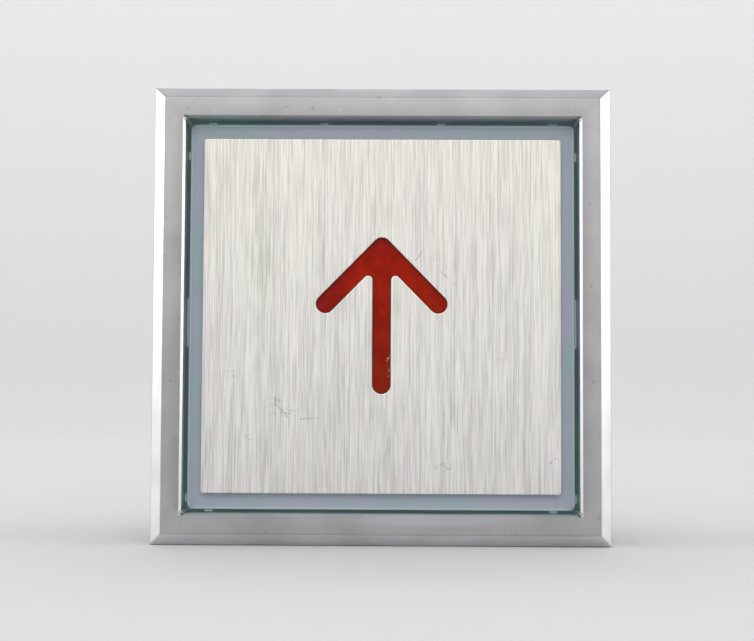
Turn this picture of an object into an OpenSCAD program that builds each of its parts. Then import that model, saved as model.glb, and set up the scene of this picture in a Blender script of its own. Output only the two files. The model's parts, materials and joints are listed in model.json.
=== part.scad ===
// Square push button for a lift landing panel, with an up arrow.
// Front faces -Y, the arrow points +Z, and the origin is the centre of the panel seat,
// which is the back face of the bezel's flange. Millimetres.

/* [Bezel] */
// Width and height of the bezel
bezel_w = 40; // [33:0.5:50]
// Thickness of the flange in front of the panel
flange_t = 4; // [3.5:0.1:6]
// Mitred bevel round the front face
bevel = 1; // [0.4:0.1:1.4]
// Width of the frame from its outer edge to the opening
frame_w = 2.8; // [2.6:0.1:4]
// Bevel round the opening
opening_bevel = 0.2; // [0.1:0.05:0.4]
// Corner radius of the opening
opening_r = 0.3; // [0.2:0.1:0.5]
// Wall of the barrel that goes through the panel
barrel_wall = 1.2; // [1:0.1:1.5]
// Corner radius of the barrel
barrel_r = 1; // [0.5:0.1:2]

/* [Button cap] */
// Gap between the lens and the opening, each side
lens_gap = 0.2; // [0.15:0.05:0.5]
// Corner radius of the lens
lens_r = 0.55; // [0.3:0.05:1.5]
// Depth of the lens face behind the bezel face
lens_recess = 2.2; // [1.6:0.1:2.8]
// Thickness of the lens face
lens_t = 1.4; // [1:0.1:2]
// Thickness of the lens skirt
skirt_t = 1.3; // [1:0.1:1.6]
// Width of the lens border left and right of the cap plate
border_side = 1.3; // [1:0.05:3]
// Width of the lens border above and below the cap plate
border_end = 1.45; // [1:0.05:3]
// Thickness of the cap plate
plate_t = 0.8; // [0.5:0.1:1.2]
// Corner radius of the cap plate
plate_r = 0.25; // [0.1:0.05:1]
// Thickness of the adhesive film
film_t = 0.1; // [0.05:0.05:0.2]
// Distance that the button travels
travel = 1.2; // [0.6:0.1:1.4]

/* [Arrow] */
// Width of the arrow's strokes
stroke_w = 1.6; // [1:0.1:2]
// Height of the whole arrow
arrow_h = 13.7; // [9:0.1:16]
// Distance between the arm ends' centres
arrow_span = 9.9; // [6:0.1:12]
// Drop from the head's centre to the arm ends' centres
arrow_drop = 5.05; // [3:0.05:6]
// Radius between an arm and the stem
arrow_fillet = 0.4; // [0.2:0.1:0.6]
// Depth of the red insert below the plate's face
insert_drop = 0.35; // [0.1:0.05:0.5]

/* [Board and cover] */
// Depth of the board's front face behind the panel seat
board_y = 9.4; // [9.2:0.1:12]
// Thickness of the board
board_t = 1.6; // [1:0.1:2]
// Length of the barrel behind the board, which the cover's rim fits
rim_len = 2; // [1.5:0.1:4]
// Distance of the corner screws from the opening's walls
screw_in = 2.6; // [2.4:0.1:3]
// Radius of the corner bosses
boss_r = 2; // [1.8:0.1:2.2]
// Depth of the inside of the rear cover behind the board
cover_room = 5.2; // [4.6:0.1:8]
// Thickness of the rear cover's walls
cover_t = 1.4; // [1.2:0.1:2]

/* [Panel clips] */
// Width of a panel clip
clip_w = 8; // [5:0.5:12]
// Thickness of the clip's spring strip
clip_t = 0.4; // [0.3:0.05:0.5]
// Height of the clip's crest above the barrel
clip_rise = 1.1; // [0.8:0.1:1.3]
// Thickness of the panel that the clips hold
panel_t = 2; // [1:0.25:2.5]
// Run of the clip's ramp, from the panel back to the crest
clip_ramp = 1.8; // [1.2:0.1:2.6]

/* [Springs] */
// Outer radius of a return spring
spring_r = 1.8; // [1.5:0.1:2.1]
// Diameter of the spring wire
wire_d = 0.4; // [0.3:0.05:0.5]
// Turns of a return spring
spring_turns = 6; // [4:1:8]
// Distance of a spring from its corner screw, across and up
spring_in = 4; // [3.8:0.1:4.4]

/* [Hidden] */
$fn = 48;
arc_steps = 14;
eps = 0.01;             // overshoot of a cut past a face
slip = 0.05;            // clearance of a sliding or turning fit, and of pieces that meet
loose = 0.15;           // clearance round a piece that drops in
half = bezel_w / 2;
opening_w = bezel_w - 2 * frame_w;
barrel_w = opening_w + 2 * barrel_wall;
face_y = -flange_t;
lens_w = opening_w - 2 * lens_gap;
plate_w = lens_w - 2 * border_side;
plate_h = lens_w - 2 * border_end;
lens_y = face_y + lens_recess;
lens_back = lens_y + lens_t;
plate_back = lens_y - film_t;
plate_y = plate_back - plate_t;
insert_y = plate_y + insert_drop;
board_back = board_y + board_t;
board_w = opening_w - 2 * slip - 2 * loose;
barrel_len = board_back + rim_len;
screw_at = opening_w / 2 - screw_in;
spring_at = screw_at - spring_in;
clip_reach = barrel_w / 2 + clip_rise;

// lamps and resistors on the board
led_l = 3.5;
led_w = 2.8;
led_t = 1.9;
led_cup_r = 1.15;
led_cup_deep = 0.4;
ring_led_top = 6.5;                     // along the top and bottom edges, from the middle
ring_led_side = 7.5;                    // along the sides
arrow_led_z = [6.4, -5.3];
res_l = 3.2;
res_w = 1.6;
res_t = 0.6;
res_x = 7.4;
res_pitch = 2.6;
res_cap = 0.5;
res_step = 0.05;

// guide ribs and snap legs of the lens
rib_w = 0.7;
rib_out = lens_gap - slip;
rib_set = 0.3;                          // depth of a rib behind the lens face
rib_outer = lens_w / 2 - 1.9;           // ribs near the corners, from the centre line
rib_inner = 5.2;                        // ribs near the middle of the top edge
rib_side_high = lens_w / 2 - 2.8;       // side ribs above the centre line
rib_side_low = lens_w / 2 - 1;          // side ribs below it
skirt_out = lens_w / 2 - 0.8;
skirt_end = board_y - led_t - travel - 0.7;
skirt_half = screw_at - boss_r - 0.8;   // half length of a skirt wall, clear of the bosses
leg_w = 4.3;
leg_z = -0.6;                           // the snap legs sit a little below the middle
leg_t = 1.2;
leg_end = board_y - travel - 0.8;
leg_slot = 0.8;
hook_y = leg_end - 1.8;
hook_t = 1.6;
hook_out = barrel_w / 2 - 0.45;
window_gap = 0.3;
post_r = 1;                             // posts inside the return springs
post_len = 3;

// corner screws
boss_y = lens_back + travel + 1.2;
screw_r = 1;
screw_hole_r = screw_r + loose;
screw_len = 10;
head_r = 1.9;
head_t = 1.3;
head_hole_r = head_r + 0.2;
head_recess = head_t + 0.2;
driver_w = 0.5;
driver_len = 2.2;
driver_deep = 0.8;

// rear cover
rim_t = 1.2;
cover_y = barrel_len + slip;
cover_in = board_back + cover_room;
cover_back = cover_in + cover_t;
cover_wall_in = barrel_w / 2 - rim_t - cover_t;
screw_seat = cover_back - head_recess;

// vents in the rear cover
vent_l = 12;
vent_w = 1.2;
vent_z = [5, 7.6, 10.2];

// lever microswitch, on the front of the board
sw_l = 12.8;
sw_w = 5.8;
sw_h = 6.5;
sw_lid_t = 0.8;
sw_wall = 0.8;
sw_x0 = -11.2;                          // left end of the case
sw_y = board_y - sw_h;
sw_in_y = sw_y + sw_lid_t;
sw_pitch = 5.08;
hinge_x = -10.2;
hinge_y = sw_y - 0.8;
pin_r = 0.4;
eye_r = pin_r + slip + 0.3;
lever_t = 0.3;
lever_w = 3;
lever_tip = 2;                          // lever's end, past the centre line
press_gap = 0.05;
pusher_r = 0.8;
pusher_len = 2.4;
lever_room = 0.35;                      // left between lever and lid at full press
lever_front = sw_y - travel - lever_t - lever_room;   // its front face where it is pressed
lever_arm = -hinge_x;
lever_tilt = atan((hinge_y - lever_front - lever_t / 2) / lever_arm);
pusher_end = lever_front - press_gap;
ear_t = 0.7;
ear_r = 0.7;
plunger_r = 0.6;
plunger_arm = 4.8;
plunger_x = hinge_x + plunger_arm;
plunger_tip = hinge_y - plunger_arm * tan(lever_tilt) + lever_t / 2 + 0.08;
collar_r = 1;
collar_t = 0.5;
collar_y = sw_in_y + slip;
term_t = 0.4;
term_w = 0.8;
blade_t = 0.2;
blade_w = 2.4;
no_x = sw_x0 + sw_l / 2;
com_x = no_x - sw_pitch;
nc_x = no_x + sw_pitch;
blade_tip_x = nc_x - term_t / 2 - 0.3;
blade_y = sw_in_y + 1.05;               // centre of the blade's thickness at rest
plunger_end = blade_y - blade_t / 2 - press_gap;
contact_r = 0.5;
contact_x = blade_tip_x - contact_r;
contact_t = 0.25;
term_end = board_back + 1;
term_hole_r = 0.6;
blade_drop = travel * plunger_arm / lever_arm * (contact_x - com_x) / (plunger_x - com_x);
no_stud_y = blade_y + blade_t / 2 + contact_t + blade_drop + 0.1;
nc_stud_y = blade_y - blade_t / 2 - contact_t - 0.05;

// plug header, on the back of the board
head_n = 4;
head_pitch = 2.5;
header_z = -8;
header_l = 12.4;
header_w = 5.8;
header_t = 7;
header_wall = 0.6;
header_floor = 1.4;
header_key = 3;
pin_w = 0.6;
pin_front = board_y - 0.6;
pin_back = board_back + header_t - 1;
pin_hole_r = 0.5;

// panel clips
clip_slot = 0.6;                        // depth of the slot that a clip lies in
clip_side = 0.2;
clip_in_z = opening_w / 2 - slip - clip_t / 2;
clip_out_z = barrel_w / 2 - clip_slot + slip + clip_t / 2;
clip_bend_y = barrel_len + slip + clip_t / 2;
clip_knee_y = panel_t + 2 * slip;         // where the ramp starts, just behind the panel
clip_path = [[board_back + 0.3, clip_in_z], [clip_bend_y, clip_in_z], [clip_bend_y, clip_out_z],
             [barrel_len - 1, clip_out_z], [clip_knee_y + clip_ramp, clip_reach - clip_t / 2],
             [clip_knee_y, clip_out_z], [1, clip_out_z]];

spring_mid_r = spring_r - wire_d / 2;

// ---- shared shapes ----

// an outline in X and Z, made solid from y0 back to y1
module deep(y0, y1) {
    translate([0, y1, 0]) rotate([90, 0, 0]) linear_extrude(y1 - y0) children();
}

// an outline in Y and Z, made solid from x0 to x1
module across(x0, x1) {
    translate([x0, 0, 0]) rotate([90, 0, 90]) linear_extrude(x1 - x0) children();
}

// an outline in X and Y, made solid from z0 up to z1
module up(z0, z1) {
    translate([0, 0, z0]) linear_extrude(z1 - z0) children();
}

module round_rect(w, h, r) {
    square([w - 2 * r, h], center = true);
    square([w, h - 2 * r], center = true);
    for (x = [-1, 1], z = [-1, 1])
        translate([x * (w / 2 - r), z * (h / 2 - r)]) circle(r);
}

module bar(x0, x1, y0, y1) {
    translate([x0, y0]) square([x1 - x0, y1 - y0]);
}

module block(x0, x1, y0, y1, z0, z1) {
    translate([x0, y0, z0]) cube([x1 - x0, y1 - y0, z1 - z0]);
}

module at_corners(d) {
    for (x = [-d, d], z = [-d, d]) translate([x, 0, z]) children();
}

// a straight round rod along Y
module rod(r, y0, y1) {
    translate([0, y1, 0]) rotate([90, 0, 0]) cylinder(r = r, h = y1 - y0);
}

// a slot with round ends, from x0 to x1 along X
module round_slot(x0, x1, w) {
    bar(x0, x1, -w / 2, w / 2);
    for (x = [x0, x1]) translate([x, 0]) circle(w / 2);
}

function unit(v) = v / norm(v);
function left_of(v) = [-v[1], v[0]];

// the point beside points[i], d to the left of a line that bends there
function beside(points, i, d) =
    let (last = len(points) - 1,
         before = left_of(unit(points[max(i, 1)] - points[max(i, 1) - 1])),
         after = left_of(unit(points[min(i, last - 1) + 1] - points[min(i, last - 1)])),
         middle = unit(before + after))
    points[i] + middle * d / (middle * before);

// a bent strip of thickness t along a list of points, with mitred bends
module bent_strip(points, t) {
    last = len(points) - 1;
    polygon(concat([for (i = [0 : last]) beside(points, i, t / 2)],
                   [for (i = [last : -1 : 0]) beside(points, i, -t / 2)]));
}

// the triangle that a bevel takes off an edge of a square, repeated on its four sides
module four_bevels(d, size, y0, out) {
    for (a = [0 : 90 : 270])
        rotate([0, a, 0]) across(-d - size, d + size)
            polygon([[y0 - eps, d + out * eps], [y0 - eps, d - out * (size + eps)],
                     [y0 + size + eps, d + out * eps]]);
}

// ---- bezel ----

module corner_boss_outline(reach) {
    circle(boss_r);
    bar(-boss_r, reach, 0, reach);
    bar(0, reach, -boss_r, reach);
}

module bezel_opening() {
    deep(face_y - eps, barrel_len + eps) round_rect(opening_w, opening_w, opening_r);
    four_bevels(opening_w / 2, opening_bevel, face_y, -1);
}

module bezel() {
    reach = barrel_w / 2 - screw_at - barrel_r / 2;
    color("silver") difference() {
        union() {
            difference() {
                union() {
                    deep(face_y, 0) square(bezel_w, center = true);
                    deep(-eps, barrel_len) round_rect(barrel_w, barrel_w, barrel_r);
                }
                four_bevels(half, bevel, face_y, 1);
                bezel_opening();
            }
            for (x = [0, 1], z = [0, 1])
                mirror([x, 0, 0]) mirror([0, 0, z]) translate([screw_at, 0, screw_at])
                    deep(boss_y, board_y) corner_boss_outline(reach);
        }
        at_corners(screw_at) rod(screw_r + slip, screw_seat - screw_len - 0.5, board_y + eps);
        for (s = [-1, 1]) {
            // windows that the snap hooks catch in
            translate([s * barrel_w / 2, 0, leg_z])
                block(-2 * hook_t, 2 * hook_t, hook_y - slip, hook_y + hook_t + travel + window_gap,
                      -leg_w / 2 - window_gap, leg_w / 2 + window_gap);
            // slots that the panel clips lie in
            translate([0, 0, s * barrel_w / 2])
                block(-clip_w / 2 - clip_side, clip_w / 2 + clip_side, 0.6, barrel_len + eps,
                      -clip_slot, clip_slot);
        }
    }
}

// ---- button cap ----

// points on an arc of radius r, from angle a0 to a1
function arc(c, r, a0, a1) = [for (i = [0 : arc_steps])
    let (a = a0 + (a1 - a0) * i / arc_steps) c + r * [cos(a), sin(a)]];

// the arrow, with strokes of width w and round ends: its right half, then the left one mirrored
module arrow_outline(w) {
    h = w / 2;
    r = arrow_fillet + (stroke_w - w) / 2;
    head = arrow_h / 2 - stroke_w / 2;
    arm = [arrow_span / 2, head - arrow_drop];
    slope = atan2(arrow_drop, arrow_span / 2);
    out = 90 - slope;                       // the way that the right arm's upper edge faces
    corner = [h, head - h / cos(slope) - h * tan(slope)];
    tangent = r * tan(45 + slope / 2);
    right = concat(arc([0, head], h, 90, out), arc(arm, h, out, out - 180),
                   arc(corner + [r, -tangent], r, out, 180), arc([0, -head], h, 0, -90));
    polygon(concat(right, [for (i = [len(right) - 2 : -1 : 1]) [-right[i][0], right[i][1]]]));
}

module guide_ribs() {
    inner = lens_w / 2 - 0.5;
    outer = lens_w / 2 + rib_out;
    for (x = [-rib_outer, -rib_inner, rib_inner, rib_outer])
        block(x - rib_w / 2, x + rib_w / 2, lens_y + rib_set, lens_back, inner, outer);
    for (x = [-rib_outer, rib_outer])
        block(x - rib_w / 2, x + rib_w / 2, lens_y + rib_set, lens_back, -outer, -inner);
    for (s = [0, 1]) mirror([s, 0, 0]) {
        for (z = [rib_side_high, -rib_side_low])
            block(inner, outer, lens_y + rib_set, lens_back, z - rib_w / 2, z + rib_w / 2);
        block(inner, outer, lens_y + rib_set, lens_back, leg_z - leg_w / 2, leg_z + leg_w / 2);
    }
}

module snap_leg() {
    out = lens_w / 2;
    across_z = [leg_z - leg_w / 2, leg_z + leg_w / 2];
    up(across_z[0], across_z[1]) {
        bar(out - leg_t, out, lens_y + rib_set, leg_end);
        polygon([[out - eps, hook_y], [hook_out, hook_y], [hook_out, hook_y + hook_t / 2],
                 [out - eps, hook_y + hook_t]]);
    }
}

module skirt_wall(from, to) {
    block(skirt_out - skirt_t, skirt_out, lens_y + rib_set, skirt_end, from, to);
}

module lens() {
    low = leg_z - leg_w / 2 - leg_slot;
    high = leg_z + leg_w / 2 + leg_slot;
    color([0.58, 0.65, 0.69]) {
        deep(lens_y, lens_back) round_rect(lens_w, lens_w, lens_r);
        guide_ribs();
        for (s = [0, 1]) mirror([s, 0, 0]) {
            snap_leg();
            skirt_wall(-skirt_half, low);
            skirt_wall(high, skirt_half);
        }
        for (a = [90, 270]) rotate([0, a, 0]) skirt_wall(-skirt_half, skirt_half);
        at_corners(spring_at) rod(post_r, lens_back - eps, lens_back + post_len);
        // rib whose round nose presses the switch lever
        up(-pusher_len / 2, pusher_len / 2) {
            bar(-pusher_r, pusher_r, lens_back - eps, pusher_end - pusher_r);
            translate([0, pusher_end - pusher_r]) circle(pusher_r);
        }
    }
}

module plate_adhesive() {
    color([0.9, 0.9, 0.85]) deep(plate_back, lens_y) difference() {
        round_rect(plate_w - 1, plate_h - 1, plate_r);
        arrow_outline(stroke_w);
    }
}

module cap_plate() {
    color([0.8, 0.79, 0.77]) deep(plate_y, plate_back) difference() {
        round_rect(plate_w, plate_h, plate_r);
        arrow_outline(stroke_w);
    }
}

module arrow_insert() {
    color([0.65, 0.1, 0.07]) deep(insert_y, lens_y) arrow_outline(stroke_w - 2 * slip);
}

// ---- return springs ----

// a coil of square wire turns: each turn is a flat ring, joined to the next by a short riser
module return_spring(n) {
    x = n % 2 == 0 ? -spring_at : spring_at;
    z = n < 2 ? spring_at : -spring_at;
    start = lens_back + slip;
    pitch = (board_y - slip - start - wire_d) / spring_turns;
    color("gainsboro") translate([x, start, z]) rotate([-90, 0, 0])
        coil(spring_mid_r, wire_d / 2, pitch, spring_turns);
}

// points round one cross-section of the wire, at turn t
function coil_ring(r, w, pitch, t) = [for (k = [0 : 5])
    let (a = 360 * t, b = 60 * k, q = r + w * cos(b))
        [q * cos(a), q * sin(a), w + pitch * t + w * sin(b)]];

module coil(r, w, pitch, turns) {
    steps = 16 * turns;
    rings = [for (i = [0 : steps]) each coil_ring(r, w, pitch, i / 16)];
    sides = [for (i = [0 : steps - 1], k = [0 : 5])
        [6 * i + k, 6 * i + (k + 1) % 6, 6 * i + 6 + (k + 1) % 6, 6 * i + 6 + k]];
    ends = [[5, 4, 3, 2, 1, 0], [for (k = [0 : 5]) 6 * steps + k]];
    polyhedron(rings, concat(sides, ends), convexity = 8);
}

// ---- board and what is on it ----

module circuit_board() {
    color([0.05, 0.35, 0.22]) difference() {
        deep(board_y, board_back) round_rect(board_w, board_w, opening_r);
        at_corners(screw_at) rod(screw_hole_r, board_y - eps, board_back + eps);
        for (x = [com_x, no_x, nc_x])
            translate([x, 0, 0]) rod(term_hole_r, board_y - eps, board_back + eps);
        for (i = [0 : head_n - 1])
            translate([pin_x(i), 0, header_z]) rod(pin_hole_r, board_y - eps, board_back + eps);
    }
}

module led(x, z, upright) {
    l = upright ? led_w : led_l;
    w = upright ? led_l : led_w;
    color([0.95, 0.93, 0.8]) translate([x, 0, z]) difference() {
        block(-l / 2, l / 2, board_y - led_t, board_y, -w / 2, w / 2);
        rod(led_cup_r, board_y - led_t - eps, board_y - led_t + led_cup_deep);
    }
}

module ring_led(n) {
    line = skirt_out - skirt_t / 2;
    side = n % 2 == 0 ? -1 : 1;
    if (n < 2) led(side * ring_led_top, line, false);
    else if (n < 4) led(side * ring_led_top, -line, false);
    else if (n < 6) led(-line, side * ring_led_side, true);
    else led(line, side * ring_led_side, true);
}

module arrow_led(n) {
    led(0, arrow_led_z[n], true);
}

module resistor(n) {
    z = (n - 1.5) * res_pitch;
    color([0.1, 0.1, 0.11]) translate([res_x, 0, z]) {
        block(-res_l / 2 + res_cap, res_l / 2 - res_cap, board_y - res_t, board_y - res_step,
              -res_w / 2, res_w / 2);
        for (s = [-1, 1]) translate([s * (res_l - res_cap) / 2, 0, 0])
            block(-res_cap / 2, res_cap / 2, board_y - res_t - res_step, board_y,
                  -res_w / 2, res_w / 2);
    }
}

// ---- lever microswitch ----

module switch_case() {
    x1 = sw_x0 + sw_l;
    color([0.12, 0.12, 0.14]) difference() {
        block(sw_x0, x1, sw_in_y, board_y, -sw_w / 2, sw_w / 2);
        block(sw_x0 + sw_wall, x1 - sw_wall, sw_in_y - eps, board_y - sw_wall,
              sw_wall - sw_w / 2, sw_w / 2 - sw_wall);
        for (x = [com_x, no_x, nc_x])
            block(x - term_t / 2 - slip, x + term_t / 2 + slip, board_y - 2 * sw_wall, board_y + eps,
                  -term_w / 2 - slip, term_w / 2 + slip);
    }
}

module switch_lid() {
    x1 = sw_x0 + sw_l;
    ear_z = lever_w / 2 + 0.1;
    color([0.15, 0.15, 0.17]) difference() {
        union() {
            block(sw_x0, x1, sw_y, sw_in_y, -sw_w / 2, sw_w / 2);
            for (s = [0, 1]) mirror([0, 0, s]) up(ear_z, ear_z + ear_t) {
                translate([hinge_x, hinge_y]) circle(ear_r);
                bar(hinge_x - ear_r, hinge_x + ear_r, hinge_y, sw_y + eps);
            }
        }
        translate([hinge_x, hinge_y, -sw_w]) cylinder(r = pin_r + 0.01, h = 2 * sw_w);
        translate([plunger_x, 0, 0]) rod(plunger_r + slip, sw_y - eps, sw_in_y + eps);
    }
}

module lever_pin() {
    ear_end = lever_w / 2 + 0.1 + ear_t;
    color("silver") translate([hinge_x, hinge_y, -ear_end - slip])
        cylinder(r = pin_r, h = 2 * (ear_end + slip));
}

module switch_lever() {
    reach = (lever_tip - hinge_x) / cos(lever_tilt);
    color("gainsboro") translate([hinge_x, hinge_y, 0]) rotate([0, 0, -lever_tilt])
        up(-lever_w / 2, lever_w / 2) difference() {
            union() {
                circle(eye_r);
                bar(0, reach, -lever_t / 2, lever_t / 2);
            }
            circle(pin_r + slip);
        }
}

module switch_plunger() {
    color([0.75, 0.2, 0.15]) translate([plunger_x, 0, 0]) {
        rod(plunger_r, plunger_tip + plunger_r, plunger_end - plunger_r);
        translate([0, plunger_tip + plunger_r, 0]) sphere(plunger_r);
        translate([0, plunger_end - plunger_r, 0]) sphere(plunger_r);
        rod(collar_r, collar_y, collar_y + collar_t / 2);
    }
}

module contact_blade() {
    color([0.8, 0.6, 0.35]) {
        block(com_x, blade_tip_x, blade_y - blade_t / 2, blade_y + blade_t / 2,
              -blade_w / 2, blade_w / 2);
        translate([contact_x, 0, 0])
            rod(contact_r, blade_y - blade_t / 2 - contact_t / 2, blade_y + blade_t / 2 + contact_t);
    }
}

// a terminal's leg through the case and the board, from y0 to its end
module terminal_leg(x, y0) {
    block(x - term_t / 2, x + term_t / 2, y0, term_end, -term_w / 2, term_w / 2);
}

module terminal_com() {
    color("gold") terminal_leg(com_x, blade_y + blade_t / 2 + 0.1);
}

module terminal_no() {
    color("gold") {
        terminal_leg(no_x, no_stud_y + contact_t);
        block(no_x - term_t / 2, contact_x + contact_r, no_stud_y + contact_t,
              no_stud_y + contact_t + term_t, -term_w / 2, term_w / 2);
        translate([contact_x, 0, 0]) rod(contact_r, no_stud_y, no_stud_y + contact_t + eps);
    }
}

module terminal_nc() {
    arm_y = nc_stud_y - contact_t;
    color("gold") {
        terminal_leg(nc_x, arm_y - term_t / 2);
        block(contact_x - contact_r, nc_x + term_t / 2, arm_y - term_t / 2, arm_y,
              -term_w / 2, term_w / 2);
        translate([contact_x, 0, 0]) rod(contact_r, arm_y - eps, nc_stud_y);
    }
}

// ---- plug header ----

function pin_x(i) = (i - (head_n - 1) / 2) * head_pitch;

module header_body() {
    back = board_back + header_t;
    color([0.93, 0.92, 0.86]) translate([0, 0, header_z]) difference() {
        block(-header_l / 2, header_l / 2, board_back, back, -header_w / 2, header_w / 2);
        block(header_wall - header_l / 2, header_l / 2 - header_wall, board_back + header_floor,
              back + eps, header_wall - header_w / 2, header_w / 2 - header_wall);
        for (s = [-1, 1]) translate([s * header_l / 4, 0, 0])
            block(-header_key / 4, header_key / 4, board_back + 2 * header_floor, back + eps,
                  -header_w, 0);
        for (i = [0 : head_n - 1]) translate([pin_x(i), 0, 0])
            block(-pin_w / 2 - slip / 2, pin_w / 2 + slip / 2, board_back - eps,
                  board_back + header_floor + eps, -pin_w / 2 - slip / 2, pin_w / 2 + slip / 2);
    }
}

module header_pin(i) {
    color("gold") translate([pin_x(i), 0, header_z])
        block(-pin_w / 2, pin_w / 2, pin_front, pin_back, -pin_w / 2, pin_w / 2);
}

// ---- rear cover and its screws ----

module cover_post_outline() {
    reach = board_w / 2 - screw_at;
    corner_boss_outline(reach - opening_r);
}

module rear_cover() {
    wall = cover_wall_in * 2;
    color([0.16, 0.17, 0.18]) difference() {
        union() {
            deep(cover_y, cover_back) round_rect(barrel_w, barrel_w, barrel_r);
            deep(board_back + slip, cover_y + eps) round_rect(board_w, board_w, opening_r);
        }
        difference() {
            deep(board_back, cover_in) round_rect(wall, wall, barrel_r);
            for (x = [0, 1], z = [0, 1])
                mirror([x, 0, 0]) mirror([0, 0, z]) translate([screw_at, 0, screw_at])
                    deep(board_back - eps, cover_in + eps) cover_post_outline();
        }
        at_corners(screw_at) {
            rod(screw_hole_r, board_back - eps, screw_seat + eps);
            rod(head_hole_r, screw_seat, cover_back + eps);
        }
        translate([0, 0, header_z])
            block(-header_l / 2 - loose, header_l / 2 + loose, cover_in - eps, cover_back + eps,
                  -header_w / 2 - loose, header_w / 2 + loose);
        for (z = vent_z)
            translate([0, 0, z]) deep(cover_in - eps, cover_back + eps)
                round_slot(-vent_l / 2, vent_l / 2, vent_w);
        // pockets for the panel clips' bends
        for (s = [0, 1]) mirror([0, 0, s]) {
            block(-clip_w / 2 - clip_side, clip_w / 2 + clip_side, board_back,
                  clip_bend_y + clip_t / 2 + loose, clip_in_z - clip_t / 2 - loose, half);
        }
    }
}

module cover_screws() {
    color("silver") at_corners(screw_at) difference() {
        union() {
            rod(screw_r, screw_seat - screw_len, screw_seat + eps);
            rod(head_r, screw_seat, screw_seat + head_t);
        }
        for (a = [0, 90]) rotate([0, a, 0])
            block(-driver_len / 2, driver_len / 2, screw_seat + head_t - driver_deep,
                  screw_seat + head_t + eps, -driver_w / 2, driver_w / 2);
    }
}

// ---- panel clips ----

module panel_clip(n) {
    color([0.7, 0.71, 0.73]) mirror([0, 0, n])
        across(-clip_w / 2, clip_w / 2) bent_strip(clip_path, clip_t);
}

bezel();
lens();
plate_adhesive();
cap_plate();
arrow_insert();
for (i = [0 : 3])
    return_spring(i);
circuit_board();
for (i = [0 : 7])
    ring_led(i);
for (i = [0 : 1])
    arrow_led(i);
for (i = [0 : 3])
    resistor(i);
switch_case();
switch_lid();
lever_pin();
switch_lever();
switch_plunger();
contact_blade();
terminal_com();
terminal_no();
terminal_nc();
header_body();
for (i = [0 : head_n - 1])
    header_pin(i);
rear_cover();
cover_screws();
for (i = [0 : 1])
    panel_clip(i);
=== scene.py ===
import json
import math

import bpy
import bmesh
from mathutils import Matrix, Vector


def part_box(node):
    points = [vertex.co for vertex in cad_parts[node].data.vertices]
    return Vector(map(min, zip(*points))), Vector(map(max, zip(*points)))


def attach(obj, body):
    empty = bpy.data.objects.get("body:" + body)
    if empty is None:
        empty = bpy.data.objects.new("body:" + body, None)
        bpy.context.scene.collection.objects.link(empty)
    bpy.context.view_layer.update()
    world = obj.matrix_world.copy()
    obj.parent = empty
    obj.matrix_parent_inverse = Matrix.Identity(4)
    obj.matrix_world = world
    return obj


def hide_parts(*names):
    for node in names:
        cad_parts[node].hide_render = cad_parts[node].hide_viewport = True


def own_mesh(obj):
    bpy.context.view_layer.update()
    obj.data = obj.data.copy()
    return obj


# Square lift call button: front towards -Y, arrow towards +Z, origin at the middle of the panel seat.
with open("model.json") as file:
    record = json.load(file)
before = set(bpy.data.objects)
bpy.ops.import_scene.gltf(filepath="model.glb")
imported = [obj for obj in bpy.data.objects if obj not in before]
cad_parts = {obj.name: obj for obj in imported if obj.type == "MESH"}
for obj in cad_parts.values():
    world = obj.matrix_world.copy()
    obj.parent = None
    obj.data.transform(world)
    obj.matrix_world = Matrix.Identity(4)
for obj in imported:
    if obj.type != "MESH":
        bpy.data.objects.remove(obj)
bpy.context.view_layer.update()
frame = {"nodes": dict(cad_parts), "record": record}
mm = 0.001

bezelLow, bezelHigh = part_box("bezel")
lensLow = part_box("lens")[0]
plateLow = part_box("cap_plate")[0]
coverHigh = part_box("rear_cover")[1]
lensRim = 17 * mm  # half width of the lens face, without its ribs and snap hooks
openingHalf = lensRim + 0.2 * mm  # half width of the bezel's opening
faceY = bezelLow.y  # front face of the bezel
halfBezel = bezelHigh.x
cloudSpan = (0.35, 0.65)  # the part of a grain's range that carries a colour from one end to the other
glossSpan = (0.30, 0.70)  # the same for roughness

cameraLook = {
    "place": (0.6 * mm, faceY - 132 * mm, -8.1 * mm),
    "up": 3.29,  # degrees that it looks up
    "left": 0.43,  # degrees that it looks to the left
    "lean": -0.29,  # degrees about its own line of sight
    "focal": 72.9,
    "sensor": 36,
    "clip": (5 * mm, 20),
}


def addCamera(look):
    data = bpy.data.cameras.new("frontCamera")
    data.sensor_width = look["sensor"]
    data.lens = look["focal"]
    data.clip_start, data.clip_end = look["clip"]
    camera = bpy.data.objects.new("frontCamera", data)
    bpy.context.scene.collection.objects.link(camera)
    turned = Matrix.Identity(4)
    for degrees, axis in ((look["left"], "Z"), (look["up"], "X"), (look["lean"], "Y"), (90, "X")):
        turned = turned @ Matrix.Rotation(math.radians(degrees), 4, axis)
    camera.matrix_world = Matrix.Translation(look["place"]) @ turned
    bpy.context.scene.camera = camera


addCamera(cameraLook)
print("camera placed")


# helpers that add and join shader nodes
def startMaterial(name):
    material = bpy.data.materials.new(name)
    material.use_nodes = True
    tree = material.node_tree
    shader = tree.nodes["Principled BSDF"]
    return material, tree, shader


def add(tree, kind, **settings):
    node = tree.nodes.new(kind)
    for key, value in settings.items():
        setattr(node, key, value)
    return node


def plug(tree, source, target):
    tree.links.new(source, target)


def position(tree):
    return add(tree, "ShaderNodeTexCoord").outputs["Object"]


def stretched(tree, place, scale, location=(0, 0, 0), rotation=(0, 0, 0)):
    node = add(tree, "ShaderNodeMapping")
    node.inputs["Location"].default_value = location
    node.inputs["Rotation"].default_value = rotation
    node.inputs["Scale"].default_value = scale
    plug(tree, place, node.inputs["Vector"])
    return node.outputs["Vector"]


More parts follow.
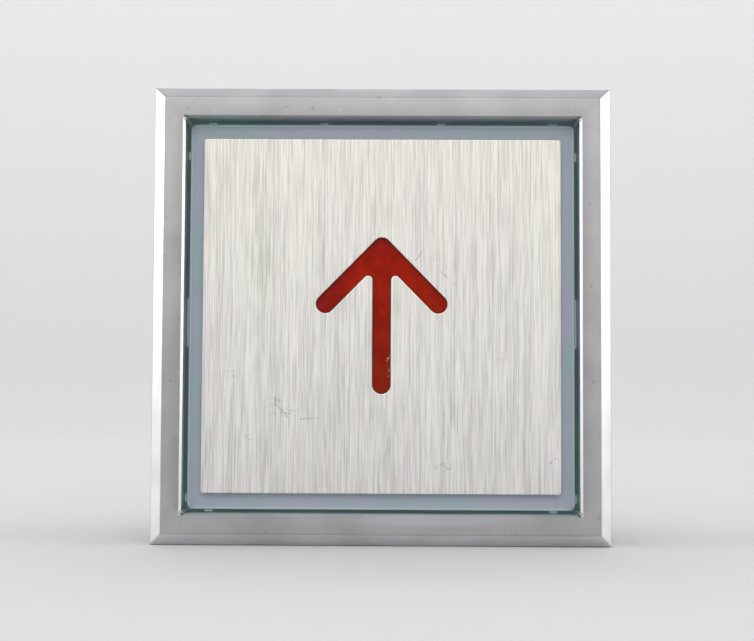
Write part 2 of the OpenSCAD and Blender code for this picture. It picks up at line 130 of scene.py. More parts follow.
def grain(tree, place, scale=1.0, detail=3.0, rough=0.55):
    node = add(tree, "ShaderNodeTexNoise")
    node.inputs["Scale"].default_value = scale
    node.inputs["Detail"].default_value = detail
    node.inputs["Roughness"].default_value = rough
    plug(tree, place, node.inputs["Vector"])
    return node.outputs["Fac"]


def spread(tree, value, low, high, newLow=0.0, newHigh=1.0, smooth=False):
    node = add(tree, "ShaderNodeMapRange")
    if smooth:
        node.interpolation_type = "SMOOTHSTEP"
    node.inputs["From Min"].default_value = low
    node.inputs["From Max"].default_value = high
    node.inputs["To Min"].default_value = newLow
    node.inputs["To Max"].default_value = newHigh
    plug(tree, value, node.inputs["Value"])
    return node.outputs["Result"]


def maths(tree, operation, first, second=None):
    node = add(tree, "ShaderNodeMath", operation=operation)
    for slotIndex, item in enumerate((first, second)):
        if item is None:
            continue
        if isinstance(item, (int, float)):
            node.inputs[slotIndex].default_value = item
        else:
            plug(tree, item, node.inputs[slotIndex])
    return node.outputs["Value"]


def times(tree, first, second):
    return maths(tree, "MULTIPLY", first, second)


def bigger(tree, first, second):
    return maths(tree, "MAXIMUM", first, second)


def unsigned(tree, value):
    return maths(tree, "ABSOLUTE", value)


def mixed(tree, first, second, share):
    # share of the second, and the rest of the first
    return maths(tree, "ADD", times(tree, first, 1 - share), times(tree, second, share))


def border(tree, value, origin, span, newLow=0, newHigh=1):
    # a soft border that starts and ends at two distances from the origin
    return spread(tree, value, origin + span[0], origin + span[1], newLow, newHigh)


def blendColour(tree, share, first, second, mode="MIX"):
    node = add(tree, "ShaderNodeMix", data_type="RGBA", blend_type=mode)
    if isinstance(share, (int, float)):
        node.inputs[0].default_value = share
    else:
        plug(tree, share, node.inputs[0])
    for slotIndex, item in ((6, first), (7, second)):
        if isinstance(item, tuple):
            node.inputs[slotIndex].default_value = (*item, 1)
        else:
            plug(tree, item, node.inputs[slotIndex])
    return node.outputs[2]


def dent(tree, shader, height, strength, distance):
    node = add(tree, "ShaderNodeBump")
    node.inputs["Strength"].default_value = strength
    node.inputs["Distance"].default_value = distance
    plug(tree, height, node.inputs["Height"])
    plug(tree, node.outputs["Normal"], shader.inputs["Normal"])


def axes(tree, place):
    node = add(tree, "ShaderNodeSeparateXYZ")
    plug(tree, place, node.inputs[0])
    return node.outputs


def scratch(tree, place, start, end, width):
    # one fine straight mark on the plate, from start to end in mm across and up
    run = Vector(end) - Vector(start)
    middle = (Vector(start) + Vector(end)) / 2
    angle = math.atan2(run.y, run.x)
    centred = stretched(tree, place, (1, 1, 1), (-middle.x * mm, 0, -middle.y * mm))
    turned = stretched(tree, centred, (1, 1, 1), rotation=(0, angle, 0))
    parts = axes(tree, turned)
    length = run.length * mm
    thick = width * mm
    inLength = spread(tree, unsigned(tree, parts["X"]), length * 0.4, length * 0.5, 1, 0)
    inWidth = spread(tree, unsigned(tree, parts["Z"]), thick * 0.3, thick * 0.5, 1, 0)
    return times(tree, inLength, inWidth)


def smudge(tree, place, spot):
    # a soft oval spot: middle across, middle up, half width and half height in mm
    middle, up, halfWide, halfHigh = spot
    scale = (1 / (halfWide * mm), 0, 1 / (halfHigh * mm))
    centred = stretched(tree, place, scale, (-middle / halfWide, 0, -up / halfHigh))
    away = add(tree, "ShaderNodeVectorMath", operation="LENGTH")
    plug(tree, centred, away.inputs[0])
    return spread(tree, away.outputs["Value"], 0.4, 1.0, 1, 0, smooth=True)


bezelMetal = {
    "colour": (0.370, 0.370, 0.377),
    "worn": (0.430, 0.430, 0.433),
    "nick": (0.62, 0.62, 0.62),
    "nickShare": 0.25,
    "pit": (0.16, 0.16, 0.17),
    "pitShare": 0.35,
    "paintedHighlight": ((0.70, 0.69, 0.70), (0.79, 0.78, 0.79)),  # painted highlight on the bevels and lips
    "glint": (0.50, 0.51, 0.545),  # painted highlight: a lighter band under the opening
    "glintPlace": (4.2, -17.7, 8.5, 0.75),  # middle across, middle up, half width, half height in mm
    "glintShare": 0.7,
    "innerShade": 0.80,  # painted shade: how much darker the face is beside the opening
    "roughness": (0.32, 0.40),
    "reflectedGreen": (0.31, 0.47, 0.41),
    "reflectedBlue": (0.36, 0.36, 0.43),
    "paintedGapGlow": (0.034, 0.043, 0.045),  # painted light: a faint glow on the wall beside the lens, lifting the dark gap
    # turns per metre
    "cloudScale": 240,
    "nickScale": 900,
    "pitScale": 1300,
    "patchyScale": 330,
    "fineScale": 5200,
}

# where each finish of the bezel starts and ends
bezelZones = {
    "mitre": (0, 0.03 * mm),  # past the corner's diagonal
    "bevel": (-1.05 * mm, -0.95 * mm),  # from the outside
    "bevelDepth": (0.9 * mm, 1.1 * mm),  # depths are taken from the face
    "shade": (0, 1.3 * mm),  # from the opening's edge, as the next three
    "lowLip": (0, 0.4 * mm),
    "lip": (0.19 * mm, 0.24 * mm),
    "inside": (0.04 * mm, 0.09 * mm),
    "lipDepth": (0.20 * mm, 0.26 * mm),
    "glintDepth": (0.01 * mm, 0.30 * mm),
    "gapDepth": (0.2 * mm, 0.5 * mm),
    "glowDepth": (0, 0.5 * mm),  # from the lens's face
    "glowEnd": (1.5 * mm, 2 * mm),  # from the panel seat
    "blue": (6 * mm, 12 * mm),  # from the middle of a side
}


def wornBezelFace(tree, look, place, cloudy):
    # satin metal with a few light nicks and dark pits
    nicks = spread(tree, grain(tree, place, look["nickScale"], 2, 0.5), 0.70, 0.76)
    pits = spread(tree, grain(tree, place, look["pitScale"], 2, 0.6), 0.69, 0.73, 0, look["pitShare"])
    metal = blendColour(tree, spread(tree, cloudy, *cloudSpan), look["colour"], look["worn"])
    metal = blendColour(tree, times(tree, nicks, look["nickShare"]), metal, look["nick"])
    return blendColour(tree, pits, metal, look["pit"])


def gapColour(tree, look, zones, place, along):
    # painted reflection: the opening's wall is painted with the board's green, bluer towards the middle
    # of each side
    middle = spread(tree, along, *zones["blue"], 1, 0, smooth=True)
    patchy = spread(tree, grain(tree, place, look["patchyScale"], 2, 0.5), 0.40, 0.60, 0, 0.7)
    return blendColour(tree, bigger(tree, middle, patchy), look["reflectedGreen"], look["reflectedBlue"])


def makeBezelMetal(look, zones):
    material, tree, shader = startMaterial("satinBezelMetal")
    place = position(tree)
    parts = axes(tree, place)
    sideways = unsigned(tree, parts["X"])
    upright = unsigned(tree, parts["Z"])
    across = bigger(tree, sideways, upright)
    along = maths(tree, "MINIMUM", sideways, upright)
    cloudy = grain(tree, place, look["cloudScale"], 3, 0.5)
    metal = wornBezelFace(tree, look, place, cloudy)
    # painted highlight: the bevels at the sides and below are painted brighter than the one on top
    notTop = border(tree, maths(tree, "SUBTRACT", sideways, parts["Z"]), 0, zones["mitre"])
    onBevel = times(tree, border(tree, across, halfBezel, zones["bevel"]),
                    border(tree, parts["Y"], faceY, zones["bevelDepth"], 1, 0))
    paintedHighlight = blendColour(tree, spread(tree, cloudy, *cloudSpan), *look["paintedHighlight"])
    metal = blendColour(tree, times(tree, onBevel, notTop), metal, paintedHighlight)
    # painted shade: the face is darker beside the opening, apart from the lip below it
    beside = times(tree, border(tree, across, openingHalf, zones["shade"], 1, 0),
                   border(tree, parts["Z"], -openingHalf, zones["lowLip"]))
    shade = (look["innerShade"],) * 3
    metal = blendColour(tree, beside, metal, blendColour(tree, 1.0, metal, shade, mode="MULTIPLY"))
    # painted highlight on the lips at the sides of the opening too
    onSide = border(tree, maths(tree, "SUBTRACT", sideways, upright), 0, zones["mitre"])
    onLip = times(tree, border(tree, across, openingHalf, zones["lip"], 1, 0),
                  border(tree, parts["Y"], faceY, zones["lipDepth"], 1, 0))
    metal = blendColour(tree, times(tree, onLip, onSide), metal, look["paintedHighlight"][1])
    # painted highlight: a lighter band on the face just under the opening
    glint = times(tree, smudge(tree, place, look["glintPlace"]),
                  border(tree, parts["Y"], faceY, zones["glintDepth"], 1, 0))
    metal = blendColour(tree, times(tree, glint, look["glintShare"]), metal, look["glint"])
    # painted reflection of the board on the opening's wall, from a little behind the face
    inside = border(tree, across, openingHalf, zones["inside"], 1, 0)
    deepIn = border(tree, parts["Y"], faceY, zones["gapDepth"])
    gap = gapColour(tree, look, zones, place, along)
    plug(tree, blendColour(tree, times(tree, inside, deepIn), metal, gap), shader.inputs["Base Color"])
    shader.inputs["Metallic"].default_value = 1
    # painted light: the wall beside the lens glows faintly, back to the end of the gap
    shader.inputs["Emission Color"].default_value = (*look["paintedGapGlow"], 1)
    lit = times(tree, border(tree, parts["Y"], lensLow.y, zones["glowDepth"]),
                border(tree, parts["Y"], 0, zones["glowEnd"], 1, 0))
    plug(tree, times(tree, inside, lit), shader.inputs["Emission Strength"])
    plug(tree, spread(tree, cloudy, *glossSpan, *look["roughness"]), shader.inputs["Roughness"])
    dent(tree, shader, grain(tree, place, look["fineScale"], 4, 0.6), 0.25, 0.004 * mm)
    return material


brushedSteel = {
    "light": (0.800, 0.787, 0.760),
    "dark": (0.553, 0.543, 0.530),
    "top": (0.940, 0.928, 0.890),  # tone of the upper half
    "topFrom": (-2 * mm, 15 * mm),  # heights between which it comes in
    "warmTints": ((1.0, 0.97, 0.93), (0.95, 1.0, 0.90)),
    "coolTint": (0.99, 0.95, 1.0),
    "tintShare": 0.4,
    "mark": (0.18, 0.18, 0.20),
    "markShare": 0.6,
    # turns per metre across, through and along the brushed lines
    "fineLines": (9500, 400, 300),
    "midLines": (7000, 300, 120),
    "broadLines": (1500, 200, 45),
    "warmLines": (900, 100, 110),
    "coolLines": (700, 100, 90),
    "coolShift": (3, 0, 5),
    "fineShare": 0.55,  # the rest of the lines is the middle ones
    "broadShare": 0.15,
    "toneSpan": (0.36, 0.58),
    "roughness": (0.30, 0.42),
}

# in mm from the button's middle
plateMarks = {
    # start, end and width
    "scratches": [
        ((2.9, 4.8), (3.8, 6.0), 0.09),
        ((5.0, 4.0), (6.6, 2.6), 0.08),
        ((4.6, 6.2), (4.5, 4.6), 0.06),
        ((1.9, 0.2), (2.9, 1.4), 0.06),
        ((-11.1, -6.0), (-11.1, -7.1), 0.17),
        ((-9.3, -7.1), (-9.25, -7.9), 0.15),
        ((-9.2, -7.8), (-8.2, -8.8), 0.09),
        ((-8.5, -8.5), (-7.6, -8.7), 0.09),
        ((-7.5, -8.4), (-7.45, -9.4), 0.13),
        ((-7.2, -9.1), (-5.2, -8.95), 0.08),
        ((-12.0, -10.5), (-11.2, -10.85), 0.24),
        ((-10.4, -11.45), (-9.8, -11.8), 0.18),
        ((14.6, -12.9), (15.3, -12.3), 0.12),
    ],
    # middle across, middle up, half width, half height
    "smudges": [
        (-13.3, -5.2, 1.0, 0.5),
        (-11.3, -10.7, 0.8, 0.5),
        (-9.2, -7.6, 0.9, 0.6),
        (9.5, 10.3, 0.5, 0.5),
        (5.3, -13.2, 1.6, 0.5),
        (-8.0, -8.6, 2.2, 0.6),
        (10.5, -3.9, 0.8, 0.3),
    ],
}


def plateWear(tree, marks, place):
    # broken fine scratches and worked, worn spots
    broken = spread(tree, grain(tree, place, 1400, 2, 0.5), 0.42, 0.56)
    worked = spread(tree, grain(tree, place, 2600, 3, 0.6), 0.50, 0.62, 0, 0.5)
    scratches = [scratch(tree, place, *row) for row in marks["scratches"]]
    worn = scratches[0]
    for mark in scratches[1:]:
        worn = bigger(tree, worn, mark)
    worn = times(tree, worn, broken)
    for spot in marks["smudges"]:
        worn = bigger(tree, worn, times(tree, smudge(tree, place, spot), worked))
    return worn


def makeBrushedSteel(look, marks):
    material, tree, shader = startMaterial("brushedPlateSteel")
    place = position(tree)
    fine = grain(tree, stretched(tree, place, look["fineLines"]), 1, 1, 0.5)
    mid = grain(tree, stretched(tree, place, look["midLines"]), 1, 1, 0.5)
    broad = grain(tree, stretched(tree, place, look["broadLines"]), 1, 2, 0.5)
    lines = mixed(tree, mid, fine, look["fineShare"])
    tone = spread(tree, mixed(tree, lines, broad, look["broadShare"]), *look["toneSpan"])
    metal = blendColour(tree, tone, look["dark"], look["light"])
    warm = grain(tree, stretched(tree, place, look["warmLines"]), 1, 2, 0.6)
    cool = grain(tree, stretched(tree, place, look["coolLines"], location=look["coolShift"]), 1, 2, 0.6)
    tint = blendColour(tree, spread(tree, warm, 0.38, 0.62), *look["warmTints"])
    tint = blendColour(tree, spread(tree, cool, 0.45, 0.65, 0, 0.8), tint, look["coolTint"])
    metal = blendColour(tree, look["tintShare"], metal, tint, mode="MULTIPLY")
    upper = spread(tree, axes(tree, place)["Z"], *look["topFrom"])
    metal = blendColour(tree, upper, metal, blendColour(tree, 1.0, metal, look["top"], mode="MULTIPLY"))
    worn = times(tree, plateWear(tree, marks, place), look["markShare"])
    plug(tree, blendColour(tree, worn, metal, look["mark"]), shader.inputs["Base Color"])
    shader.inputs["Metallic"].default_value = 1
    plug(tree, spread(tree, broad, *glossSpan, *look["roughness"]), shader.inputs["Roughness"])
    dent(tree, shader, lines, 0.35, 0.006 * mm)
    return material


lensPlastic = {
    "teal": (0.350, 0.495, 0.505),
    "mauve": (0.430, 0.455, 0.560),
    "rim": (0.540, 0.660, 0.660),
    "rimFrom": (-0.26 * mm, -0.14 * mm),  # from the edge of the lens's face
    "sideFrom": (0.15 * mm, 0.50 * mm),  # depth behind its face
    "ribFrom": (0.01 * mm, 0.03 * mm),  # outside its edge
    "edge": (0.34, 0.52, 0.50),
    "glow": (0.030, 0.050, 0.052),
    "rib": (0.60, 0.64, 0.64),
    "roughness": (0.30, 0.42),
    "ior": 1.58,
    "coat": 0.25,
    "coatRoughness": 0.2,
}


def makeLensPlastic(look):
    material, tree, shader = startMaterial("frostedLensPlastic")
    place = position(tree)
    parts = axes(tree, place)
    cloudy = grain(tree, place, 210, 2, 0.5)
    body = blendColour(tree, spread(tree, cloudy, 0.38, 0.60), look["teal"], look["mauve"])
    across = bigger(tree, unsigned(tree, parts["X"]), unsigned(tree, parts["Z"]))
    body = blendColour(tree, border(tree, across, lensRim, look["rimFrom"]), body, look["rim"])
    # the side walls stand in the narrow gap, and look as dark as it does; the ribs on them are pale
    side = border(tree, parts["Y"], lensLow.y, look["sideFrom"])
    edge = blendColour(tree, border(tree, across, lensRim, look["ribFrom"]), look["edge"], look["rib"])
    plug(tree, blendColour(tree, side, body, edge), shader.inputs["Base Color"])
    # painted light: the side walls glow faintly to lift the dark gap around the lens
    shader.inputs["Emission Color"].default_value = (*look["glow"], 1)
    plug(tree, side, shader.inputs["Emission Strength"])
    gloss = spread(tree, grain(tree, place, 900, 2), *glossSpan, *look["roughness"])
    plug(tree, gloss, shader.inputs["Roughness"])
    shader.inputs["IOR"].default_value = look["ior"]
    shader.inputs["Coat Weight"].default_value = look["coat"]
    shader.inputs["Coat Roughness"].default_value = look["coatRoughness"]
    dent(tree, shader, grain(tree, place, 4200, 3), 0.15, 0.003 * mm)
    return material


arrowPlastic = {
    "red": (0.385, 0.013, 0.002),
    "dark": (0.25, 0.009, 0.002),
    "low": (0.24, 0.020, 0.006),
    "lowTo": (5 * mm, -7 * mm),  # heights between which the red turns to its low tone
    "end": (0.23, 0.010, 0.010),  # dark red: painted shade on the tip and left arm, and the tone of the grain streaks
    "armFrom": (-2 * mm, -6 * mm),
    "armShare": 0.7,
    "tipFrom": (5.2 * mm, 6.8 * mm),
    "tipShare": 0.8,
    "streakLines": (5000, 400, 500),
    "streakShare": 0.35,
    "speck": (0.62, 0.36, 0.30),
    "speckPlace": (0.60, -4.4, 0.30, 1.3),  # middle across, middle up, half width, half height in mm
    "roughness": (0.45, 0.60),
    "specular": 0.06,
}


def makeArrowPlastic(look):
    material, tree, shader = startMaterial("redArrowPlastic")
    place = position(tree)
    cloudy = grain(tree, place, 700, 3, 0.6)
    parts = axes(tree, place)
    red = blendColour(tree, spread(tree, parts["Z"], *look["lowTo"]), look["red"], look["low"])
    red = blendColour(tree, spread(tree, cloudy, 0.35, 0.60), look["dark"], red)
    # painted shade of the recess's edges: the left arm and the tip darken
    shadedEnds = bigger(tree, spread(tree, parts["X"], *look["armFrom"], 0, look["armShare"]),
                  spread(tree, parts["Z"], *look["tipFrom"], 0, look["tipShare"]))
    red = blendColour(tree, shadedEnds, red, look["end"])
    streaks = grain(tree, stretched(tree, place, look["streakLines"]), 1, 2, 0.5)
    streaks = spread(tree, streaks, 0.5, 0.7, 0, look["streakShare"])
    red = blendColour(tree, streaks, red, look["end"])
    specks = times(tree, smudge(tree, place, look["speckPlace"]),
                   spread(tree, grain(tree, place, 5200, 2, 0.5), 0.56, 0.64))
    plug(tree, blendColour(tree, specks, red, look["speck"]), shader.inputs["Base Color"])
    plug(tree, spread(tree, cloudy, *glossSpan, *look["roughness"]), shader.inputs["Roughness"])
    shader.inputs["Specular IOR Level"].default_value = look["specular"]
    dent(tree, shader, grain(tree, place, 2600, 2), 0.3, 0.01 * mm)
    return material


def makePlain(name, light, dark, metallic, roughness, size, bump):
    # one mottled finish: two tones, uneven gloss and a fine surface, for moulded and plated pieces
    material, tree, shader = startMaterial(name)
    place = position(tree)
    cloudy = grain(tree, place, 1 / size, 3, 0.55)
    tone = blendColour(tree, spread(tree, cloudy, *cloudSpan), dark, light)
    plug(tree, tone, shader.inputs["Base Color"])
    plug(tree, spread(tree, cloudy, *glossSpan, *roughness), shader.inputs["Roughness"])
    shader.inputs["Metallic"].default_value = metallic
    dent(tree, shader, grain(tree, place, 6 / size, 3), bump, 0.01 * mm)
    return material


def makeGrained(name, light, dark, roughness, stretch):
    # rolled or drawn metal, with its grain along the axis that has fewer turns, if one has
    material, tree, shader = startMaterial(name)
    lines = grain(tree, stretched(tree, position(tree), stretch), 1, 3, 0.6)
    tone = blendColour(tree, spread(tree, lines, *cloudSpan), dark, light)
    plug(tree, tone, shader.inputs["Base Color"])
    plug(tree, spread(tree, lines, *glossSpan, *roughness), shader.inputs["Roughness"])
    shader.inputs["Metallic"].default_value = 1
    dent(tree, shader, lines, 0.25, 0.005 * mm)
    return material


boardLook = {
    "mask": (0.012, 0.130, 0.060),
    "copper": (0.030, 0.210, 0.095),
    "pitch": 1.27 * mm,
    "uneven": 0.35,
    "roughness": (0.22, 0.38),
}


def makeBoard(look):
    # solder mask over copper: tracks show through as a paler grid of broken lines
    material, tree, shader = startMaterial("greenBoard")
    place = position(tree)
    cells = add(tree, "ShaderNodeTexVoronoi", feature="F1", distance="MANHATTAN")
    cells.inputs["Scale"].default_value = 1 / (2 * look["pitch"])
    cells.inputs["Randomness"].default_value = look["uneven"]
    plug(tree, place, cells.inputs["Vector"])
    tracks = spread(tree, cells.outputs["Distance"], 0.42, 0.46)
    plug(tree, blendColour(tree, tracks, look["mask"], look["copper"]), shader.inputs["Base Color"])
    gloss = spread(tree, grain(tree, place, 800, 2), *glossSpan, *look["roughness"])
    plug(tree, gloss, shader.inputs["Roughness"])
    dent(tree, shader, tracks, 0.4, 0.02 * mm)
    return material


# slot: name, light and dark tones, metallic, roughness, size of the mottling, bump
plainFinishes = {
    "adhesive": (
        "tapeFilm", (0.78, 0.76, 0.68), (0.70, 0.68, 0.60),
        0, (0.45, 0.6), 2 * mm, 0.1,
    ),
    "lamp_white": (
        "lampBody", (0.86, 0.84, 0.66), (0.80, 0.76, 0.52),
        0, (0.3, 0.45), 2 * mm, 0.1,
    ),
    "resistor_black": (
        "chipBlack", (0.035, 0.035, 0.04), (0.015, 0.015, 0.02),
        0, (0.35, 0.5), 1 * mm, 0.3,
    ),
    "switch_plastic": (
        "switchPlastic", (0.020, 0.020, 0.026), (0.010, 0.010, 0.014),
        0, (0.4, 0.55), 1 * mm, 0.4,
    ),
    "plunger_red": (
        "plungerRed", (0.42, 0.035, 0.022), (0.30, 0.02, 0.015),
        0, (0.35, 0.5), 1 * mm, 0.2,
    ),
    "header_nylon": (
        "headerNylon", (0.80, 0.77, 0.68), (0.70, 0.67, 0.57),
        0, (0.35, 0.5), 3 * mm, 0.25,
    ),
    "cover_plastic": (
        "coverPlastic", (0.030, 0.032, 0.035), (0.018, 0.019, 0.021),
        0, (0.42, 0.6), 1.2 * mm, 0.6,
    ),
    "screw_zinc": (
        "zincPlate", (0.62, 0.64, 0.67), (0.46, 0.48, 0.52),
        1, (0.22, 0.36), 1.5 * mm, 0.2,
    ),
    "contact_brass": (
        "goldFlash", (0.80, 0.58, 0.24), (0.66, 0.46, 0.18),
        1, (0.2, 0.34), 1 * mm, 0.2,
    ),
}

# slot: name, light and dark tones, roughness, turns per metre along each axis
grainedFinishes = {
    "switch_steel": (
        "leverSteel", (0.66, 0.66, 0.66), (0.50, 0.50, 0.50),
        (0.25, 0.38), (300, 3000, 6000),
    ),
    "blade_bronze": (
        "bladeBronze", (0.70, 0.45, 0.22), (0.52, 0.32, 0.15),
        (0.25, 0.38), (300, 3000, 6000),
    ),
    "clip_steel": (
        "clipSteel", (0.52, 0.53, 0.54), (0.36, 0.37, 0.38),
        (0.40, 0.52), (7000, 300, 300),
    ),
    "spring_wire": (
        "springWire", (0.66, 0.66, 0.68), (0.46, 0.46, 0.48),
        (0.2, 0.34), (2000, 2000, 2000),
    ),
}

finish = {
    "bezel_metal": makeBezelMetal(bezelMetal, bezelZones),
    "brushed_plate": makeBrushedSteel(brushedSteel, plateMarks),
    "frosted_lens": makeLensPlastic(lensPlastic),
    "arrow_red": makeArrowPlastic(arrowPlastic),
    "board_green": makeBoard(boardLook),
}
for slot, row in plainFinishes.items():
    finish[slot] = makePlain(*row)
for slot, row in grainedFinishes.items():
    finish[slot] = makeGrained(*row)
print("materials made:", len(finish))


# what the record says of each CAD node
bodyOf = {node: body for body, nodes in frame["record"]["behaviour"]["bodies"].items() for node in nodes}
slotOf = {row["node"]: row["material_slot"] for row in frame["record"]["subparts"]}


def dress(piece, slotName):
    piece.data.materials.clear()
    piece.data.materials.append(finish[slotName])


meshLook = {
    "sharpFrom": 32,  # degrees between faces, from which an edge stays sharp
    "bevelFrom": 20,  # degrees from which it counts as one to round
    "flatWithin": 0.3,  # degrees within which faces are one flat face
    "mergeWithin": 0.0005 * mm,
    "sameWithin": 0.02 * mm,
}


def finishPiece(name, shape, node):
    # turns a bmesh into a piece that stands for one CAD node
    bmesh.ops.recalc_face_normals(shape, faces=shape.faces)
    mesh = bpy.data.meshes.new(name)
    shape.to_mesh(mesh)
    shape.free()
    mesh.shade_smooth()
    mesh.set_sharp_from_angle(angle=math.radians(meshLook["sharpFrom"]))
    piece = bpy.data.objects.new(name, mesh)
    bpy.context.scene.collection.objects.link(piece)
    even = piece.modifiers.new("evenFaces", "WEIGHTED_NORMAL")
    even.keep_sharp = True
    even.weight = 100
    dress(piece, slotOf[node])
    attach(piece, bodyOf[node])
    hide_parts(node)
    return piece


def mergedCopy(node):
    # the CAD shape with its triangles joined back into whole faces
    shape = bmesh.new()
    shape.from_mesh(frame["nodes"][node].data)
    bmesh.ops.remove_doubles(shape, verts=shape.verts, dist=meshLook["mergeWithin"])
    flat = math.radians(meshLook["flatWithin"])
    bmesh.ops.dissolve_limit(shape, angle_limit=flat, verts=shape.verts, edges=shape.edges)
    return shape


def roundOff(shape, width, segments, pick):
    # bevels the sharp edges whose middle point satisfies pick
    chosen = []
    for edge in shape.edges:
        if len(edge.link_faces) == 2 and edge.calc_face_angle(0) > math.radians(meshLook["bevelFrom"]):
            if pick((edge.verts[0].co + edge.verts[1].co) / 2):
                chosen.append(edge)
    bmesh.ops.bevel(shape, geom=chosen, offset=width, segments=segments, profile=0.5,
                    affect="EDGES", material=-1, clamp_overlap=True)
    return len(chosen)


def near(value, target):
    return abs(value - target) < meshLook["sameWithin"]


def reach(point):
    # distance from the button's middle line, over the squares it is made of
    return max(abs(point.x), abs(point.z))


bezelShape = {
    "outer": 0.11 * mm,
    "outerZone": 1.2 * mm,  # the outer edges lie this close to the outside
    "opening": 0.05 * mm,
    "openingZone": 2 * mm,  # the opening's edges lie farther in than this
    "openingDepth": 0.25 * mm,
}


def makeBezel(look):
    shape = mergedCopy("bezel")

    def outer(point):
        return point.y < 0.01 * mm and reach(point) > halfBezel - look["outerZone"]

    def opening(point):
        return point.y < faceY + look["openingDepth"] and reach(point) < halfBezel - look["openingZone"]

    rounded = roundOff(shape, look["outer"], 3, outer)
    print("bezel edges:", rounded, roundOff(shape, look["opening"], 2, opening))
    return finishPiece("bezelFrame", shape, "bezel")


lensShape = {"rim": 0.14 * mm}


def makeLens(look):
    shape = mergedCopy("lens")
    print("lens edges:", roundOff(shape, look["rim"], 3, lambda point: near(point.y, lensLow.y)))
    return finishPiece("lensBody", shape, "lens")


plateShape = {"rim": 0.1 * mm}


def makePlate(look):
    shape = mergedCopy("cap_plate")
    print("plate edges:", roundOff(shape, look["rim"], 2, lambda point: near(point.y, plateLow.y)))
    return finishPiece("capPlateSheet", shape, "cap_plate")


coverShape = {
    "rim": 0.45 * mm,
    "rimZone": 1.2 * mm,  # the rim's edges lie this close to the outside
    "small": 0.08 * mm,
    "smallZone": 2 * mm,  # the edges of holes and steps lie farther in than this
}


def makeCover(look):
    shape = mergedCopy("rear_cover")
    back = coverHigh.y
    half = coverHigh.x

    def rim(point):
        return near(point.y, back) and reach(point) > half - look["rimZone"]

    def small(point):
        return near(point.y, back) and reach(point) < half - look["smallZone"]

    rounded = roundOff(shape, look["rim"], 4, rim)
    print("cover edges:", rounded, roundOff(shape, look["small"], 1, small))
    return finishPiece("rearCoverShell", shape, "rear_cover")


makeBezel(bezelShape)
makeLens(lensShape)
makePlate(plateShape)
makeCover(coverShape)
print("shells made")

coil = {
    "wire": 0.2 * mm,  # half the wire's thickness
    "sides": 10,
    "perTurn": 28,
    "turns": 6,
    "closed": 1,  # closed turns at each end
    "closedPitch": 2.05,  # their rise, in wire radii
}


def makeSpring(look, node):
    # a round-wire coil spun up from its first cross-section, its end turns closed flat
    low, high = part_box(node)
    middle = (low + high) / 2
    radius = (high.x - low.x) / 2 - look["wire"]
    length = high.y - low.y - 2 * look["wire"]
    closedRise = look["wire"] * look["closedPitch"]
    openTurns = look["turns"] - 2 * look["closed"]
    openRise = (length - 2 * look["closed"] * closedRise) / openTurns
    shape = bmesh.new()
    made = bmesh.ops.create_circle(shape, cap_ends=True, segments=look["sides"], radius=look["wire"],
                                   matrix=Matrix.Translation((radius, look["wire"], 0)))
    geometry = list(shape.faces) + list(shape.edges) + list(made["verts"])
    closed = (look["closed"], closedRise)
    for turns, rise in (closed, (openTurns, openRise), closed):
        steps = look["perTurn"] * turns
        step = Vector((0, rise / look["perTurn"], 0))
        spun = bmesh.ops.spin(shape, geom=geometry, cent=(0, 0, 0), axis=(0, 1, 0), dvec=step,
                              angle=math.tau * turns, steps=steps, use_merge=False)
        geometry = spun["geom_last"]
    bmesh.ops.recalc_face_normals(shape, faces=shape.faces)
    bmesh.ops.translate(shape, verts=shape.verts, vec=(middle.x, low.y, middle.z))
    return finishPiece("coil" + node[-1], shape, node)


for number in range(1, 5):
    node = "return_spring_" + str(number)
    spring = makeSpring(coil, node)
    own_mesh(spring)
print("springs made")

plungerShape = {
    "stem": 0.6 * mm,  # radius, also of the domes
    "domeSteps": 8,
    "collarLow": 1.84 * mm,  # heights over the low end
    "collarHigh": 2.09 * mm,
    "edge": 0.05 * mm,
    "steps": 40,
}


def makePlunger(look):
    # a stem with domed ends and a collar, turned from its profile
    low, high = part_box("switch_plunger")
    wide = (high.x - low.x) / 2
    stem, edge = look["stem"], look["edge"]
    angles = [math.pi / 2 * step / look["domeSteps"] for step in range(look["domeSteps"] + 1)]
    profile = [(stem * math.sin(angle), low.y + stem - stem * math.cos(angle)) for angle in angles]
    first, last = low.y + look["collarLow"], low.y + look["collarHigh"]
    profile += [(stem, first), (wide - edge, first), (wide, first + edge)]
    profile += [(wide, last - edge), (wide - edge, last), (stem, last)]
    profile += [(stem * math.cos(angle), high.y - stem + stem * math.sin(angle)) for angle in angles[1:]]
    shape = bmesh.new()
    verts = [shape.verts.new((radius, height, 0)) for radius, height in profile]
    edges = [shape.edges.new(pair) for pair in zip(verts, verts[1:])]
    bmesh.ops.spin(shape, geom=verts + edges, cent=(0, 0, 0), axis=(0, 1, 0), angle=math.tau,
                   steps=look["steps"], use_merge=True)
    bmesh.ops.remove_doubles(shape, verts=shape.verts, dist=0.001 * mm)
    bmesh.ops.translate(shape, verts=shape.verts, vec=((low.x + high.x) / 2, 0, (low.z + high.z) / 2))
    return finishPiece("plungerBody", shape, "switch_plunger")


makePlunger(plungerShape)
print("plunger made")

for node, piece in frame["nodes"].items():
    if not piece.hide_render:
        dress(piece, slotOf[node])
print("CAD pieces dressed")

stageLook = {
    "radius": 1.1,
    "flat": 0.45,
    "height": 1.0,
    "floor": (0.605, 0.603, 0.605),
    "wall": (0.675, 0.668, 0.670),
    "high": (0.89, 0.89, 0.89),
    "fade": (0.10, 0.45),  # distances between which the floor turns to the wall's tone
    "rise": (0.02, 0.30),  # heights between which the wall turns to its high tone
    "bendSteps": 24,
    "turnSteps": 96,
    "roughness": 0.9,
    "specular": 0.1,
}


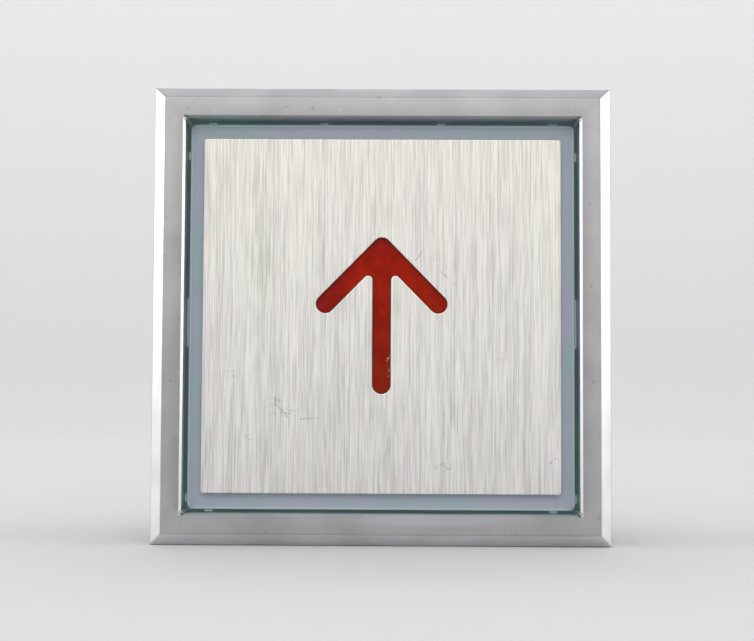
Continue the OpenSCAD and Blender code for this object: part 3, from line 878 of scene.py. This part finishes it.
def makePaper(look):
    # matt paper, painted paler with distance from the button and with height to even out the light on it
    material, tree, shader = startMaterial("palePaper")
    away = add(tree, "ShaderNodeVectorMath", operation="LENGTH")
    plug(tree, position(tree), away.inputs[0])
    share = spread(tree, away.outputs["Value"], *look["fade"], smooth=True)
    rise = spread(tree, axes(tree, position(tree))["Z"], *look["rise"])
    wall = blendColour(tree, rise, look["wall"], look["high"])
    plug(tree, blendColour(tree, share, look["floor"], wall), shader.inputs["Base Color"])
    shader.inputs["Roughness"].default_value = look["roughness"]
    shader.inputs["Specular IOR Level"].default_value = look["specular"]
    return material


def addStage(look):
    # a round bowl: flat floor under the button, then one curve up into the wall
    shape = bmesh.new()
    floor = bezelLow.z
    bend = look["radius"] - look["flat"]
    points = [(0, floor), (look["flat"], floor)]
    for step in range(1, look["bendSteps"] + 1):
        angle = math.pi / 2 * step / look["bendSteps"]
        points.append((look["flat"] + bend * math.sin(angle), floor + bend * (1 - math.cos(angle))))
    points.append((look["radius"], floor + look["height"]))
    verts = [shape.verts.new((x, 0, z)) for x, z in points]
    edges = [shape.edges.new(pair) for pair in zip(verts, verts[1:])]
    bmesh.ops.spin(shape, geom=verts + edges, cent=(0, 0, 0), axis=(0, 0, 1), angle=math.tau,
                   steps=look["turnSteps"], use_merge=True)
    bmesh.ops.remove_doubles(shape, verts=shape.verts, dist=0.01 * mm)
    bmesh.ops.recalc_face_normals(shape, faces=shape.faces)
    mesh = bpy.data.meshes.new("paleBowl")
    shape.to_mesh(mesh)
    shape.free()
    mesh.shade_smooth()
    bowl = bpy.data.objects.new("paleBowl", mesh)
    bpy.context.scene.collection.objects.link(bowl)
    mesh.materials.append(makePaper(look))


addStage(stageLook)

softLights = {
    "world": (0.985, 0.99, 1.0, 1.0),
    "worldStrength": 0.90,
    # name: place, size, watts, degrees over which it shines
    "boxes": {
        "leftBox": ((-0.62, -0.02, 0.20), (0.50, 0.38), 0.30, 80),
        "rightBox": ((0.62, -0.02, 0.20), (0.50, 0.38), 0.30, 80),
        "frontBox": ((0.0, -0.75, 0.42), (1.00, 0.50), 1.8, 180),
        "backBox": ((0.0, 0.50, 0.78), (0.60, 0.40), 1.7, 180),
    },
}


def addLights(look):
    world = bpy.data.worlds.new("paleRoom")
    world.use_nodes = True
    background = world.node_tree.nodes["Background"]
    background.inputs["Color"].default_value = look["world"]
    background.inputs["Strength"].default_value = look["worldStrength"]
    bpy.context.scene.world = world
    for name, (place, size, watts, fan) in look["boxes"].items():
        data = bpy.data.lights.new(name, "AREA")
        data.shape = "RECTANGLE"
        data.size, data.size_y = size
        data.energy = watts
        data.spread = math.radians(fan)
        light = bpy.data.objects.new(name, data)
        light.location = place
        light.rotation_euler = (Vector((0, 0, 0)) - Vector(place)).to_track_quat("-Z", "Y").to_euler()
        light.visible_camera = False
        bpy.context.scene.collection.objects.link(light)


addLights(softLights)
bpy.context.scene.view_settings.view_transform = "Standard"
print("stage and lights set")
